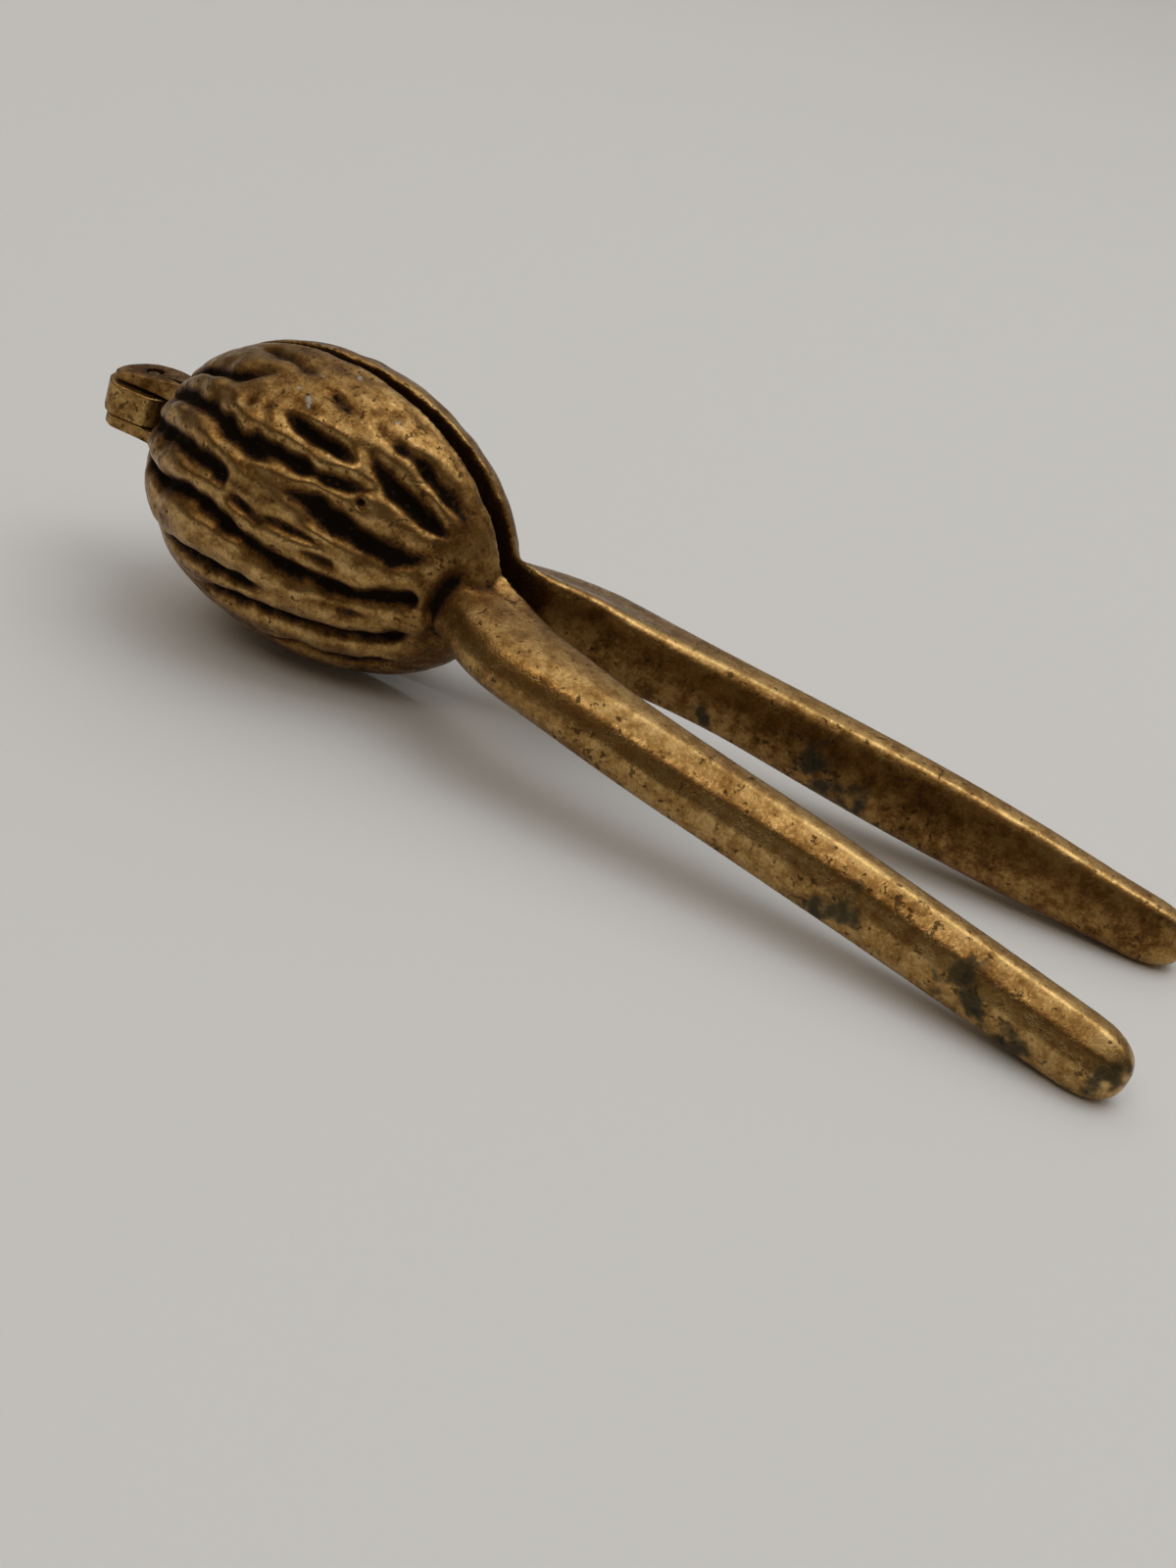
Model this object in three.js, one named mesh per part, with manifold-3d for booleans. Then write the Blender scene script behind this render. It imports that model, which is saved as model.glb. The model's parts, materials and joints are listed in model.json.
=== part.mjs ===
// Walnut-shaped lever nutcracker: two bronze castings on one hinge pin.
// Each casting is half a walnut shell, drawn out at one end into a handle and at the other into
// its share of the hinge: a fork of two ears on the front half, a tongue on the rear half.
import * as THREE from "three";
import { mergeVertices } from "three/addons/utils/BufferGeometryUtils.js";
import Module from "manifold-3d";

const wasm = await Module();
wasm.setup();

// Driving sizes, in millimetres and degrees.
// In a half's own frame the pin lies on Z, X runs to the handle's tip and Y points out of the rim.

// The walnut.
const noseOffset = 0.4; // from the knuckles' round to the nose of the nut
const nutLength = 53.7;
const nutHeight = 40.9; // across the rim, top to bottom
const shellDepth = 17.4; // rim to the outside, half way along
const depthLean = 0.29; // share of that depth gained at the hinge end and lost at the handle end
const wall = 3; // thickness of the shell at the rim
const ridgeCount = 9; // long ridges on one half
const ridgeDepth = 1.1; // depth of the furrows between them
const rimGap = 0.15; // each rim stands off the parting plane by this much when shut

// The handle. The outer and inner faces are given by their distance from the parting plane.
const pinToTip = 155;
const neckRun = 11.5; // end of the nut to where the web beside the neck has run out
const rootOuter = 10.7;
const neckOuter = 13.6;
const waistOuter = 13.2;
const tipOuter = 15.5;
const neckInner = 2.7;
const waistInner = 6.5;
const tipInner = 8.9;
const rootHeight = 6.8;
const waistHeight = 9.5;
const tipHeight = 8.7;
const tipRise = 0.5; // the tip's middle lies this much above the middle of the nut
const tipRound = 7; // length over which the tip is rounded off

// The hinge.
const barrelRadius = 5;
const tongueReach = 0.6; // how far the tongue's end stands out past the ears
const earThickness = 1.7;
const tongueThickness = 4.4;
const knuckleGap = 0.3; // between an ear and the tongue
const noseGap = 0.35; // between a knuckle and the other half's nose
const lugWidth = 6.5; // of an ear or the tongue, where it runs into the nose
const hingeDrop = 0.9; // the hinge sits this much below the middle of the nut
const pinDiameter = 2.6;
const pinClearance = 0.2; // all round the pin
const pinRecess = 0.4; // the pin's ends lie this deep in the ears
const pinChamfer = 0.3;

// The pose: the jaws stand this far apart at rest, shared by the two halves.
const restOpening = 3.5;

// The finishes: worn bronze on the castings, brown tarnish on the pin.
const frontBronze = { color: 0x8c6c3a, roughness: 0.42, metalness: 1 };
const rearBronze = { color: 0x866637, roughness: 0.44, metalness: 1 };
const pinBronze = { color: 0x5a4426, roughness: 0.5, metalness: 1 };

// How finely curves are cut into flats.
const nutStations = 22;
const sidesPerRidge = 6; // even, so that ridges and rims fall on corners
const cavityStations = 16;
const cavitySides = 48;
const handleStations = 22;
const tipStations = 6;
const holeSides = 32;

// Places that follow from the sizes above.
const nutSides = 2 * ridgeCount * sidesPerRidge;
const nutHalf = nutLength / 2;
const nutStart = barrelRadius + noseOffset;
const nutMiddle = nutStart + nutHalf;
const nutEnd = nutStart + nutLength;
const tongueHalf = tongueThickness / 2;
const earInner = tongueHalf + knuckleGap;
const earOuter = earInner + earThickness;
const pinLength = 2 * (earOuter - pinRecess);
const boreRadius = pinDiameter / 2 + pinClearance;
const farAway = 2 * pinToTip; // longer than the whole object, for cutting tools

// Outline of the handle's section, as shares of its width (from the inner face) and half height.
// It has a flat inner face, a flat top, a bevel down to the outer side, and the same below.
const handleSection = [
  [0, 0],
  [0, 0.56],
  [0.05, 0.84],
  [0.14, 0.98],
  [0.55, 1],
  [0.68, 0.94],
  [0.93, 0.64],
  [0.99, 0.34],
  [1, 0],
];

// A closed solid from rings of points that all hold as many points, capped by a point at each end.
function loft(rings, start, end) {
  const sides = rings[0].length;
  const points = [start, ...rings.flat(), end];
  const last = points.length - 1;
  const at = (ring, side) => 1 + ring * sides + (side % sides);
  const faces = [];
  for (let side = 0; side < sides; side++) {
    faces.push([0, at(0, side + 1), at(0, side)]);
    faces.push([last, at(rings.length - 1, side), at(rings.length - 1, side + 1)]);
    for (let ring = 0; ring + 1 < rings.length; ring++) {
      faces.push([at(ring, side), at(ring, side + 1), at(ring + 1, side)]);
      faces.push([at(ring, side + 1), at(ring + 1, side + 1), at(ring + 1, side)]);
    }
  }
  const volume = faces.reduce((sum, [a, b, c]) => {
    const normal = new THREE.Vector3().crossVectors(points[b], points[c]);
    return sum + normal.dot(points[a]);
  }, 0);
  const outward = volume > 0 ? faces : faces.map(([a, b, c]) => [a, c, b]);
  const geometry = new THREE.BufferGeometry().setFromPoints(points);
  geometry.setIndex(outward.flat());
  return solid(geometry);
}

// A geometry as a solid that can be joined and cut.
function solid(geometry) {
  geometry.deleteAttribute("normal");
  geometry.deleteAttribute("uv");
  const merged = mergeVertices(geometry);
  return new wasm.Manifold(
    new wasm.Mesh({
      numProp: 3,
      vertProperties: merged.attributes.position.array,
      triVerts: new Uint32Array(merged.index.array),
    }),
  );
}

// A named mesh of a finished solid, with its own material.
function pieceMesh(name, made, finish) {
  const { vertProperties, triVerts } = made.getMesh();
  const geometry = new THREE.BufferGeometry();
  geometry.setAttribute("position", new THREE.BufferAttribute(vertProperties, 3));
  geometry.setIndex(new THREE.BufferAttribute(triVerts, 1));
  geometry.computeVertexNormals();
  const mesh = new THREE.Mesh(geometry, new THREE.MeshStandardMaterial(finish));
  mesh.name = name;
  return mesh;
}

// The height at x of a smooth curve through [x, height] knots: cubic pieces, each knot having the
// slope between its neighbours.
function through(knots, x) {
  const slope = (i) => {
    const before = knots[Math.max(i - 1, 0)];
    const after = knots[Math.min(i + 1, knots.length - 1)];
    return (after[1] - before[1]) / (after[0] - before[0]);
  };
  const inside = knots.findIndex((knot) => knot[0] > x);
  const i = (inside < 0 ? knots.length - 1 : Math.max(inside, 1)) - 1;
  const run = knots[i + 1][0] - knots[i][0];
  const t = THREE.MathUtils.clamp((x - knots[i][0]) / run, 0, 1);
  const ease = t * t * (3 - 2 * t);
  const leave = t * (1 - t) ** 2 * run * slope(i);
  const arrive = t * t * (t - 1) * run * slope(i + 1);
  return knots[i][1] * (1 - ease) + knots[i + 1][1] * ease + leave + arrive;
}

// A whole walnut about the middle of the rim, its deeper end towards the hinge.
// Rings stand along X, closer together near the ends, and ridges run from end to end.
function walnut(halfLength, depth, halfHeight, furrow, stations, sides) {
  const rings = [];
  for (let i = 1; i < stations; i++) {
    const turn = (Math.PI * i) / stations;
    const along = -Math.cos(turn);
    const girth = Math.sin(turn);
    const ring = [];
    for (let k = 0; k < sides; k++) {
      const angle = (2 * Math.PI * k) / sides;
      const dip = (furrow * girth * (1 - Math.cos(2 * ridgeCount * angle))) / 2;
      const y = (depth * (1 - depthLean * along) * girth - dip) * Math.sin(angle);
      const z = (halfHeight * girth - dip) * Math.cos(angle);
      ring.push(new THREE.Vector3(nutMiddle + halfLength * along, rimGap + y, z));
    }
    rings.push(ring);
  }
  const nose = new THREE.Vector3(nutMiddle - halfLength, rimGap, 0);
  const stem = new THREE.Vector3(nutMiddle + halfLength, rimGap, 0);
  return loft(rings, nose, stem);
}

// The handle, from inside the nut's end wall to the rounded tip.
function handle() {
  const rootAt = nutEnd - neckRun;
  const neckAt = nutEnd + neckRun;
  const waistAt = (neckAt + pinToTip) / 2;
  const outer = [[rootAt, rootOuter - wall], [nutEnd, rootOuter], [neckAt, neckOuter]];
  outer.push([waistAt, waistOuter], [pinToTip, tipOuter]);
  const inner = [[rootAt, -wall], [nutEnd, -wall / 2], [neckAt, neckInner]];
  inner.push([waistAt, waistInner], [pinToTip, tipInner]);
  const height = [[rootAt, rootHeight], [nutEnd, rootHeight]];
  height.push([waistAt, waistHeight], [pinToTip, tipHeight]);

  const below = handleSection.slice(1, -1).reverse();
  const outline = [...handleSection, ...below.map(([across, up]) => [across, -up])];
  const middleOf = (x) => {
    const rise = tipRise * Math.max(0, (x - nutEnd) / (pinToTip - nutEnd));
    return new THREE.Vector3(x, (through(inner, x) + through(outer, x)) / 2, rise);
  };
  const section = (x, shrink) => {
    const middle = middleOf(x);
    const width = (through(outer, x) - through(inner, x)) * shrink;
    const halfHeight = (through(height, x) / 2) * shrink;
    return outline.map(([across, up]) => {
      const y = middle.y + width * (across - 0.5);
      return new THREE.Vector3(x, y, middle.z + halfHeight * up);
    });
  };

  const roundFrom = pinToTip - tipRound;
  const rings = [];
  for (let i = 0; i < handleStations; i++) {
    rings.push(section(rootAt + ((roundFrom - rootAt) * i) / handleStations, 1));
  }
  for (let i = 0; i < tipStations; i++) {
    const turn = (Math.PI / 2) * (i / tipStations);
    rings.push(section(roundFrom + tipRound * Math.sin(turn), Math.cos(turn)));
  }
  return loft(rings, middleOf(rootAt), middleOf(pinToTip));
}

// Everything on the outer side of a rim.
function outsideRim() {
  const block = new THREE.BoxGeometry(farAway, farAway, farAway);
  block.translate(0, rimGap + farAway / 2, 0);
  return solid(block);
}

// An upright round bar on the pin axis, between two heights.
function barOnAxis(radius, low, high) {
  const bar = new THREE.CylinderGeometry(radius, radius, high - low, holeSides);
  bar.rotateX(Math.PI / 2);
  bar.translate(0, 0, (low + high) / 2 - hingeDrop);
  return solid(bar);
}

// One knuckle: a plate between two heights, round about the pin, whose tail runs into the nose.
function knuckle(low, high, reach) {
  const tailEnd = nutStart + wall;
  const flatFrom = Math.sqrt(barrelRadius ** 2 - rimGap ** 2);
  const plan = new THREE.Shape();
  plan.moveTo(tailEnd, rimGap);
  plan.lineTo(flatFrom - reach, rimGap);
  plan.absarc(-reach, 0, barrelRadius, Math.asin(rimGap / barrelRadius), Math.PI / 2 - 2 * Math.PI, true);
  plan.lineTo(tailEnd, lugWidth);
  plan.closePath();
  const plate = new THREE.ExtrudeGeometry(plan, {
    depth: high - low,
    bevelEnabled: false,
    curveSegments: holeSides,
  });
  plate.translate(0, 0, low - hingeDrop);
  return solid(plate);
}

// One casting for the rear side: shell, handle and knuckles, hollowed, and bored for the pin.
// Its nose is cut back around the other half's knuckles.
function casting(knuckles, otherKnuckles) {
  const halfHeight = nutHeight / 2;
  const outside = walnut(nutHalf, shellDepth, halfHeight, ridgeDepth, nutStations, nutSides);
  const inside = [nutHalf - wall, shellDepth - wall, halfHeight - wall];
  const hollow = walnut(...inside, 0, cavityStations, cavitySides);
  let body = outside.add(handle()).intersect(outsideRim());
  for (const { low, high, reach } of otherKnuckles) {
    const room = barrelRadius + reach + noseGap;
    body = body.subtract(barOnAxis(room, low - knuckleGap, high + knuckleGap));
  }
  for (const { low, high, reach } of knuckles) {
    body = body.add(knuckle(low, high, reach));
  }
  return body.subtract(hollow).subtract(barOnAxis(boreRadius, -farAway, farAway));
}

// The hinge pin, turned, with a chamfer at each end.
function hingePin() {
  const radius = pinDiameter / 2;
  const end = pinLength / 2;
  const profile = [
    [0, -end],
    [radius - pinChamfer, -end],
    [radius, pinChamfer - end],
    [radius, end - pinChamfer],
    [radius - pinChamfer, end],
    [0, end],
  ].map(([x, y]) => new THREE.Vector2(x, y));
  const turned = new THREE.LatheGeometry(profile, holeSides);
  turned.rotateX(Math.PI / 2);
  turned.translate(0, 0, -hingeDrop);
  return solid(turned);
}

// The same piece on the front side: each point mirrored in the parting plane, each face turned round.
function mirrored(made) {
  const { vertProperties, triVerts } = made.getMesh();
  const points = vertProperties.map((value, i) => (i % 3 === 1 ? -value : value));
  const faces = triVerts.slice().reverse();
  return new wasm.Manifold(new wasm.Mesh({ numProp: 3, vertProperties: points, triVerts: faces }));
}

// The tilt about Y that brings the lowest points of nut and handle tips to one level.
function restingTilt(assembly) {
  assembly.updateMatrixWorld(true);
  const points = [];
  assembly.traverse((piece) => {
    if (!piece.isMesh) {
      return;
    }
    const places = piece.geometry.getAttribute("position");
    for (let i = 0; i < places.count; i++) {
      points.push(new THREE.Vector3().fromBufferAttribute(places, i).applyMatrix4(piece.matrixWorld));
    }
  });
  const nut = points.filter((point) => point.x < nutEnd);
  const tips = points.filter((point) => point.x > nutEnd);
  let tilt = 0;
  const rounds = 8;
  for (let i = 0; i < rounds; i++) {
    const level = (point) => point.z * Math.cos(tilt) - point.x * Math.sin(tilt);
    const lowest = (group) => group.reduce((a, b) => (level(b) < level(a) ? b : a));
    const heel = lowest(nut);
    const toe = lowest(tips);
    tilt = Math.atan2(toe.z - heel.z, toe.x - heel.x);
  }
  return tilt;
}

const ears = [
  { low: earInner, high: earOuter, reach: 0 },
  { low: -earOuter, high: -earInner, reach: 0 },
];
const tongue = [{ low: -tongueHalf, high: tongueHalf, reach: tongueReach }];

const forkJaw = pieceMesh("fork_jaw", mirrored(casting(ears, tongue)), frontBronze);
const tongueJaw = pieceMesh("tongue_jaw", casting(tongue, ears), rearBronze);
const pin = pieceMesh("hinge_pin", hingePin(), pinBronze);

const frontHalf = new THREE.Group();
frontHalf.add(forkJaw, pin);
frontHalf.rotation.z = THREE.MathUtils.degToRad(-restOpening / 2);

const rearHalf = new THREE.Group();
rearHalf.add(tongueJaw);
rearHalf.rotation.z = THREE.MathUtils.degToRad(restOpening / 2);

// At rest the nut and both handle tips touch the ground. The origin is the middle of the box's base.
const atRest = new THREE.Group();
atRest.add(frontHalf, rearHalf);
atRest.rotation.y = restingTilt(atRest);
atRest.updateMatrixWorld(true);
const box = new THREE.Box3().setFromObject(atRest, true);
const middle = box.getCenter(new THREE.Vector3());
atRest.position.set(-middle.x, -middle.y, -box.min.z);

const nutcracker = new THREE.Group();
nutcracker.add(atRest);

export default nutcracker;
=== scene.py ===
# %% [markdown]
# A walnut nutcracker in worn bronze
# Two castings, each half a walnut shell drawn out into a handle, swing on one cross pin.
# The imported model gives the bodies, the pin's axis and the size. It is loaded first and never moved,
# and every piece made below takes its place from it.

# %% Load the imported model
import json
import bpy
import numpy as np
from mathutils import Matrix


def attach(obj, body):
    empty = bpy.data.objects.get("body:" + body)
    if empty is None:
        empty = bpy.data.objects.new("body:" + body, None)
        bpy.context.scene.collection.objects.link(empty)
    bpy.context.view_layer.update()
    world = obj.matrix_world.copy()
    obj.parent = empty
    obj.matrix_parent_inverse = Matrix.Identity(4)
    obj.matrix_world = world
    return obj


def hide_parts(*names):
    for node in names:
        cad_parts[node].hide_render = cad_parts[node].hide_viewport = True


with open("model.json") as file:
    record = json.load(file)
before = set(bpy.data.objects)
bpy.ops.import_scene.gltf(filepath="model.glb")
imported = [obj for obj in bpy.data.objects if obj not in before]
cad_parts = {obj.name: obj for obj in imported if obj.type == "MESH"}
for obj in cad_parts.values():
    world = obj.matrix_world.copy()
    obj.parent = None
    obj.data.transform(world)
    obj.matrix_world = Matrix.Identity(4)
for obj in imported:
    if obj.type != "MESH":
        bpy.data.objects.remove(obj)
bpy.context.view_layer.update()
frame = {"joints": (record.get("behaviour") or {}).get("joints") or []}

# %% [markdown]
# Both castings are the same idea seen from two sides, so they are drawn once, in millimetres, in a frame
# of their own: the pin stands at the origin, x runs to the handle's tip, y goes outwards from the rim and
# z up the pin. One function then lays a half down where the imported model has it. Drawing in place would
# need every number twice, so the half frame is the shorter way.

# %% Half frame
MM = 0.001
FRONT, REAR = -1, 1
hinge = frame["joints"][0]
PIN_AT = np.array(hinge["pos_m"]) / MM
PIN_WAY = np.array(hinge["axis"])
OUTWARDS = np.array([0.0, 1.0, 0.0])
TO_TIP = np.cross(OUTWARDS, PIN_WAY)
HALF_OPENING = np.radians(-hinge["range_deg"][0]) / 2


def placed(points, side):
    """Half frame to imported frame, in metres: mirror y for the front half, turn half the opening, shift to
    the pin."""
    x, y, z = points.T
    y = side * y
    turn = side * HALF_OPENING
    far = x * np.cos(turn) - y * np.sin(turn)
    out = x * np.sin(turn) + y * np.cos(turn)
    return (PIN_AT + np.outer(far, TO_TIP) + np.outer(out, OUTWARDS) + np.outer(z, PIN_WAY)) * MM


print("pin at", PIN_AT.round(2), "mm, jaws open by", round(float(np.degrees(2 * HALF_OPENING)), 2), "degrees")

# %% [markdown]
# Every raw form is a grid of points: rows along the form, columns around it. The columns close on
# themselves and the end rows shrink to a point, so the mesh is watertight. Equal points are merged
# afterwards, which closes the poles. Blender's primitives could not follow a cast shape, and sculpting
# could not be repeated.

# %% From a grid of points to a closed form
MERGE_DIGITS = 5


def grid_faces(rows, columns):
    """Two triangles for each cell between neighbouring rows; the last column joins the first."""
    here = np.arange((rows - 1) * columns).reshape(rows - 1, columns)
    beside = np.roll(here, -1, axis=1)
    first = np.stack([here, beside, beside + columns], axis=-1)
    second = np.stack([here, beside + columns, here + columns], axis=-1)
    return np.concatenate([first, second]).reshape(-1, 3)


def new_object(name, data):
    """An object at the origin in the scene."""
    made = bpy.data.objects.new(name, data)
    bpy.context.scene.collection.objects.link(made)
    return made


def closed_form(name, grid):
    """Object from a grid: equal points merged, empty faces dropped, faces turned out by the signed volume,
    which is a sixth of the sum of each triangle's triple product."""
    points, index = np.unique(grid.reshape(-1, 3).round(MERGE_DIGITS), axis=0, return_inverse=True)
    faces = index.reshape(-1)[grid_faces(*grid.shape[:2])]
    a, b, c = faces.T
    faces = faces[(a != b) & (b != c) & (c != a)]
    corners = points[faces]
    volume = np.einsum("ij,ij->", corners[:, 0], np.cross(corners[:, 1], corners[:, 2])) / 6
    if volume < 0:
        faces = faces[:, ::-1]
    mesh = bpy.data.meshes.new(name)
    mesh.from_pydata(points.tolist(), [], faces.tolist())
    print(name, len(points), "points,", round(abs(float(volume))), "cubic mm")
    return new_object(name, mesh)


# %% Curves and steps
def curve_through(knots, at):
    """Smooth curve through [place, value] knots: cubic pieces whose slope is that between the neighbours."""
    place, value = np.array(knots, dtype=float).T
    before = np.r_[place[0], place[:-1]], np.r_[value[0], value[:-1]]
    after = np.r_[place[1:], place[-1]], np.r_[value[1:], value[-1]]
    slope = (after[1] - before[1]) / (after[0] - before[0])
    k = np.clip(np.searchsorted(place, at, side="right") - 1, 0, len(place) - 2)
    run = place[k + 1] - place[k]
    t = np.clip((at - place[k]) / run, 0, 1)
    ease = t * t * (3 - 2 * t)
    bend = t * (1 - t) ** 2 * run * slope[k] - t * t * (1 - t) * run * slope[k + 1]
    return value[k] * (1 - ease) + value[k + 1] * ease + bend


def eased(low, high, at):
    """0 below low, 1 above high, and a smooth step between."""
    t = np.clip((at - low) / (high - low), 0, 1)
    return t * t * (3 - 2 * t)


def between(begins, ends, at):
    """1 in a stretch, with a smooth step up over `begins` and a smooth step down over `ends`."""
    return eased(*begins, at) * (1 - eased(*ends, at))


# %% Outlines and uneven waves
def worn_outline(corners, per_edge, rounds):
    """Closed outline with evenly spaced points on every edge, its corners rounded by averaging each point
    with its neighbours."""
    corners = np.array(corners, dtype=float)
    ends = np.roll(corners, -1, axis=0)
    t = np.linspace(0, 1, per_edge, endpoint=False)[:, None]
    outline = (corners[:, None] * (1 - t) + ends[:, None] * t).reshape(-1, 2)
    for _ in range(rounds):
        outline = (np.roll(outline, 1, axis=0) + 2 * outline + np.roll(outline, -1, axis=0)) / 4
    return outline


def ripple(points, height, length, seed):
    """Smooth uneven waves of about the given height: a mean of sines along random directions, about `length`
    mm from crest to crest."""
    waves, spread = 11, (0.7, 1.4)
    draw = np.random.default_rng(seed)
    way = draw.normal(size=(waves, 3))
    speed = 2 * np.pi / length * draw.uniform(*spread, (waves, 1))
    way *= speed / np.linalg.norm(way, axis=1, keepdims=True)
    total = np.sin(points @ way.T + draw.uniform(0, 2 * np.pi, waves)).sum(axis=1)
    return height * (total / np.sqrt(waves))


# %% [markdown]
# The nut is half a walnut shell: an egg with its thick end at the hinge, cut flat along the rim. A point
# on it is named by how far along the nut it lies, from -1 at the nose to 1 at the stem, and by its angle,
# from 0 at the upper rim to 180 degrees at the lower rim. The furrows are then lines in those two numbers.

# %% Walnut shell
NUT_START, NUT_END = 5.4, 59.1
NUT_MIDDLE = (NUT_START + NUT_END) / 2
NUT_HALF_LENGTH = (NUT_END - NUT_START) / 2
NUT_DEPTH, NUT_HALF_HEIGHT, NUT_LEAN = 17.4, 20.4, 0.29
RIM_GAP, WALL = 0.15, 3.8


def walnut_point(along, angle, dip=0.0, inside=0.0):
    """Egg surface: x along, y and z an ellipse that shrinks to both ends; dip lowers it, inside moves it
    inwards."""
    girth = np.sqrt(np.clip(1 - along**2, 0, 1))
    depth = (NUT_DEPTH - inside) * (1 - NUT_LEAN * along) * girth - dip
    height = (NUT_HALF_HEIGHT - inside) * girth - dip
    x = NUT_MIDDLE + (NUT_HALF_LENGTH - inside) * along + 0 * angle
    return np.stack([x, RIM_GAP + depth * np.sin(angle), height * np.cos(angle)], axis=-1)


print("nut", round(2 * NUT_HALF_LENGTH, 1), "mm long and", 2 * NUT_HALF_HEIGHT, "mm high")

# %% [markdown]
# A walnut's furrows run lengthways, wander, split and stop. They were modelled in the pattern by hand, so
# here they are listed one by one: each is a width, a depth in millimetres and a few points on the shell.
# The cut across a furrow is a steep trough on a broad one, so that a round ridge stays between two of them.
# A noise texture could make wrinkles by the hundred, but not these lines, so the list is the better way.

# %% Furrows of the front shell
FURROWS = [
    (1.2, 1.8, [(-0.92, 27), (-0.72, 27), (-0.60, 30), (-0.50, 30), (-0.42, 28), (-0.34, 24)]),
    (1.0, 0.8, [(-0.66, 5), (-0.53, 8), (-0.40, 12), (-0.24, 17), (-0.15, 19)]),
    (1.5, 2.0, [(-0.97, 48), (-0.70, 48), (-0.55, 50), (-0.42, 53), (-0.33, 56), (-0.20, 58), (-0.04, 60)]),
    (1.3, 1.8, [(-0.36, 55), (-0.20, 54), (-0.08, 55), (0.10, 55), (0.25, 54), (0.44, 47)]),
    (0.7, 1.0, [(-0.40, 44), (-0.33, 42), (-0.26, 41), (-0.19, 40)]),
    (1.3, 2.0, [(-0.18, 41), (-0.10, 41), (0.00, 42), (0.10, 43), (0.20, 43), (0.29, 45)]),
    (1.5, 2.0, [(-0.97, 77), (-0.75, 71), (-0.60, 70), (-0.42, 71), (-0.30, 72), (-0.21, 77)]),
    (1.1, 1.0, [(-0.27, 73), (-0.14, 78), (-0.03, 81), (0.06, 80)]),
    (1.0, 1.0, [(-0.06, 80), (0.06, 79), (0.20, 79), (0.44, 79)]),
    (0.9, 0.9, [(0.16, 85), (0.30, 85), (0.42, 87)]),
    (1.5, 2.2, [(-0.97, 99), (-0.62, 94), (-0.47, 88), (-0.34, 87), (-0.22, 89), (-0.04, 92), (0.16, 94),
                (0.33, 95), (0.46, 96), (0.58, 93), (0.70, 89), (0.76, 84)]),
    (1.9, 2.5, [(0.02, 66), (0.17, 66), (0.28, 68), (0.40, 69), (0.52, 70), (0.63, 68), (0.74, 62)]),
    (1.5, 2.3, [(0.29, 35), (0.36, 40), (0.45, 42), (0.55, 43), (0.66, 44), (0.78, 43)]),
    (0.9, 1.0, [(0.14, 25), (0.28, 25), (0.40, 26), (0.52, 25)]),
    (1.2, 1.9, [(0.38, 26), (0.47, 24), (0.55, 25), (0.64, 24), (0.72, 25), (0.82, 29)]),
    (0.9, 0.7, [(-0.12, 20), (0.00, 24), (0.08, 26), (0.18, 25)]),
    (0.8, 0.6, [(0.05, 12), (0.20, 13), (0.34, 13)]),
    (1.0, 0.9, [(0.24, 102), (0.45, 104), (0.66, 103)]),
    (1.3, 1.7, [(-0.92, 134), (-0.60, 124), (-0.40, 115), (-0.25, 112), (-0.06, 110), (0.10, 108)]),
    (1.4, 2.0, [(-0.34, 129), (-0.05, 121), (0.10, 119), (0.28, 119), (0.50, 120), (0.64, 118), (0.78, 111)]),
    (1.2, 1.5, [(0.02, 141), (0.22, 138), (0.40, 139), (0.60, 140), (0.78, 137)]),
    (1.3, 1.5, [(-0.92, 156), (-0.55, 147), (-0.25, 146), (0.03, 151)]),
    (1.1, 1.2, [(-0.42, 166), (-0.10, 162), (0.25, 161), (0.60, 156)]),
    (1.2, 2.1, [(0.88, 46), (0.85, 58), (0.83, 69), (0.84, 88), (0.88, 110), (0.92, 128)]),
]
COLLAR = (1.1, 0.5, [(0.68, 72), (0.74, 84), (0.77, 95), (0.80, 108), (0.83, 118)])
PIT, PIT_RADIUS, PIT_DEPTH = (0.36, 56), 0.6, 0.9


def other_side(furrows):
    """The rear shell's furrows: the same lines, turned upside down and shifted a little along the nut."""
    shift = 0.05
    return [(w, d, [(a - shift * (1 - a * a), 180 - g) for a, g in line]) for w, d, line in furrows]


print(len(FURROWS), "furrows on each shell")

# %% Lines on the shell
NOSE = -0.85
STEPS_PER_KNOT, LINE_REACH = 6, 8.0
TAPER, TAPER_SHARE, TAPER_LEAD = 5.0, 0.4, 0.2


def line_distance(points, line):
    """Distance from each point to a line of short straight pieces, and how far along it the nearest place
    is, from 0 to 1."""
    nearest = np.full(len(points), np.inf)
    share = np.zeros(len(points))
    for k, (start, end) in enumerate(zip(line[:-1], line[1:])):
        way = end - start
        t = np.clip((points - start) @ way / (way @ way), 0, 1)
        distance = np.linalg.norm(points - start - t[:, None] * way, axis=1)
        share = np.where(distance < nearest, (k + t) / (len(line) - 1), share)
        nearest = np.minimum(distance, nearest)
    return nearest, share


def traced(surface, knots):
    """For the points near a line on the shell: their indices, the distance, and a fade towards each end,
    except an end at the nose."""
    knots = np.array(knots, dtype=float) * [1, np.pi / 180]
    at = np.linspace(0, len(knots) - 1, STEPS_PER_KNOT * (len(knots) - 1) + 1)
    line = walnut_point(*(curve_through(np.c_[np.arange(len(knots)), column], at) for column in knots.T))
    low, high = line.min(axis=0) - LINE_REACH, line.max(axis=0) + LINE_REACH
    near = np.flatnonzero(((surface > low) & (surface < high)).all(axis=1))
    nearest, share = line_distance(surface[near], line)
    length = np.linalg.norm(np.diff(line, axis=0), axis=1).sum()
    taper = min(TAPER_SHARE, TAPER / length)
    lead = -TAPER_LEAD * taper
    begin = 1.0 if knots[0, 0] < NOSE else eased(lead, taper, share)
    return near, nearest, begin * eased(lead, taper, 1 - share)


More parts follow.
